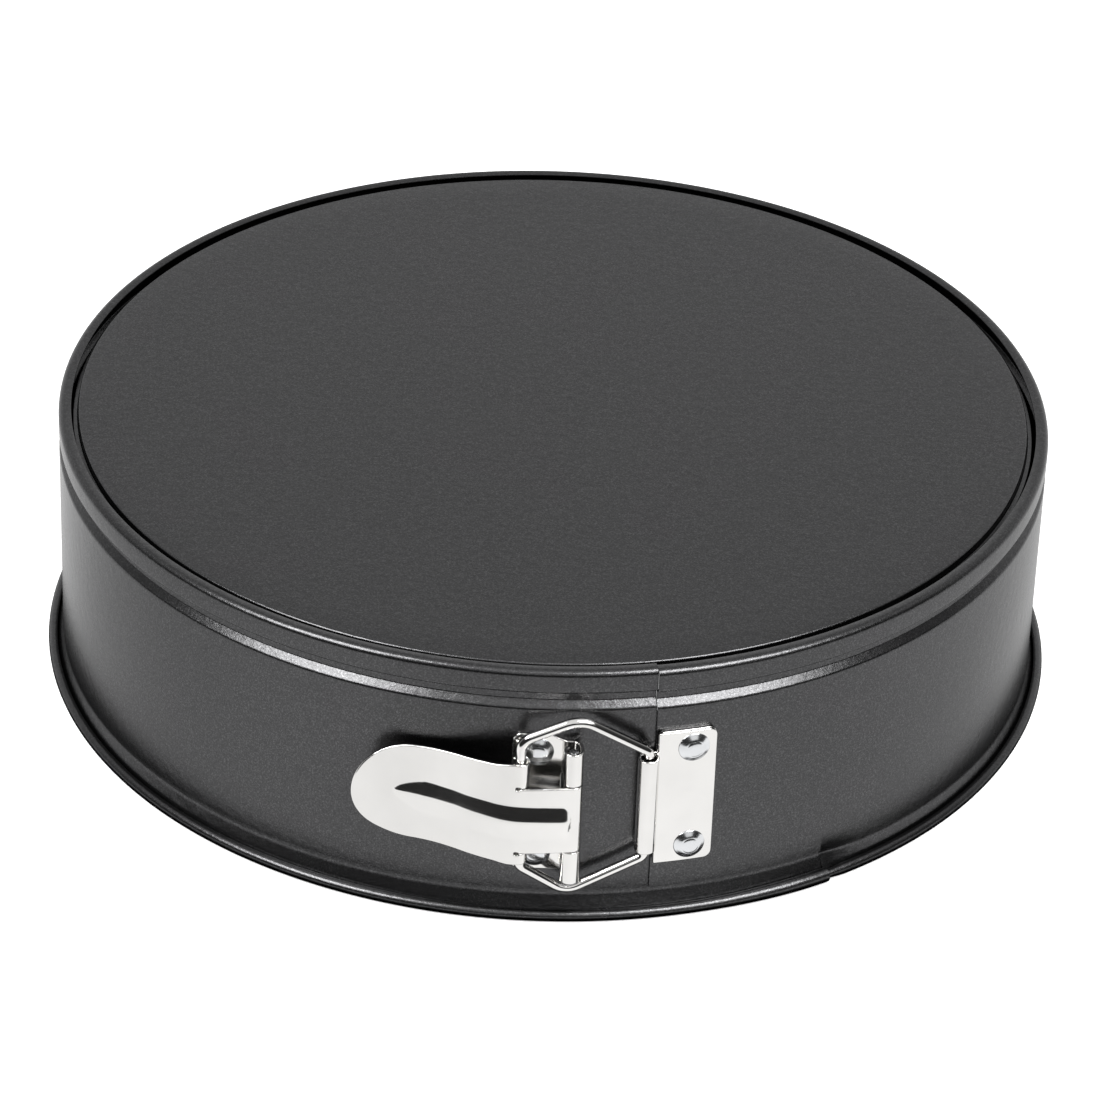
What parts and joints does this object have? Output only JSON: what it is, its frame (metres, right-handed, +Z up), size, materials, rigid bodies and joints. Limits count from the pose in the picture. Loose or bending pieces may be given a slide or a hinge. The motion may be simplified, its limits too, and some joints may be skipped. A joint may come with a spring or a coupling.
{
  "type": "springform pan",
  "caption": "Round springform cake pan stored upside down: sprung steel band with rolled rim, lift-out flat base, and over-centre lever latch with wire link.",
  "frame": {"origin": "on the pan's axis, in the plane that its rolled rim rests on", "axes": "+Z up along the pan's axis from the rolled rim towards the base, -Y towards the latch, X across it"},
  "size_m": [0.2676, 0.273, 0.0716],
  "materials": {
    "nonstick_steel": "satin non-stick coating",
    "nonstick_base": "satin non-stick coating",
    "plated_steel": "bright nickel plating",
    "plated_wire": "bright nickel plating",
    "rivet_steel": "bright nickel plating"
  },
  "bodies": {
    "band": {"band_latch_half": "nonstick_steel", "latch_bracket": "plated_steel", "bracket_rivet_upper": "rivet_steel", "bracket_rivet_lower": "rivet_steel", "lever_pin": "rivet_steel"},
    "band_keeper_side": {"band_keeper_half": "nonstick_steel", "keeper_plate": "plated_steel", "keeper_rivet_upper": "rivet_steel", "keeper_rivet_lower": "rivet_steel", "link_wire_side": "plated_wire"},
    "base": {"base_plate": "nonstick_base"},
    "lever": {"lever": "plated_steel"},
    "link": {"link_wire": "plated_wire"}
  },
  "joints": [
    {"name": "lever_open", "type": "hinge", "parent": "band", "child": "lever", "pos_m": [0.00818, -0.13375, 0.0348], "axis": [0, 0, 1], "range_deg": [0, 165]},
    {"name": "link_turn", "type": "hinge", "parent": "lever", "child": "link", "pos_m": [-0.00472, -0.13512, 0.0348], "axis": [0, 0, 1], "range_deg": [-156.98, 0]},
    {"name": "band_spring", "type": "hinge", "parent": "band", "child": "band_keeper_side", "pos_m": [0, 0.1342, 0.0348], "axis": [0, 0, 1], "range_deg": [0, 5.39]},
    {"name": "base_lift", "type": "slide", "parent": "band", "child": "base", "axis": [0, 0, 1], "range_m": [0, 0.09]}
  ],
  "couplings": [
    {"joint": "link_turn", "follows": "lever_open", "ratio": -0.95137},
    {"joint": "band_spring", "follows": "lever_open", "ratio": 0.032664}
  ]
}
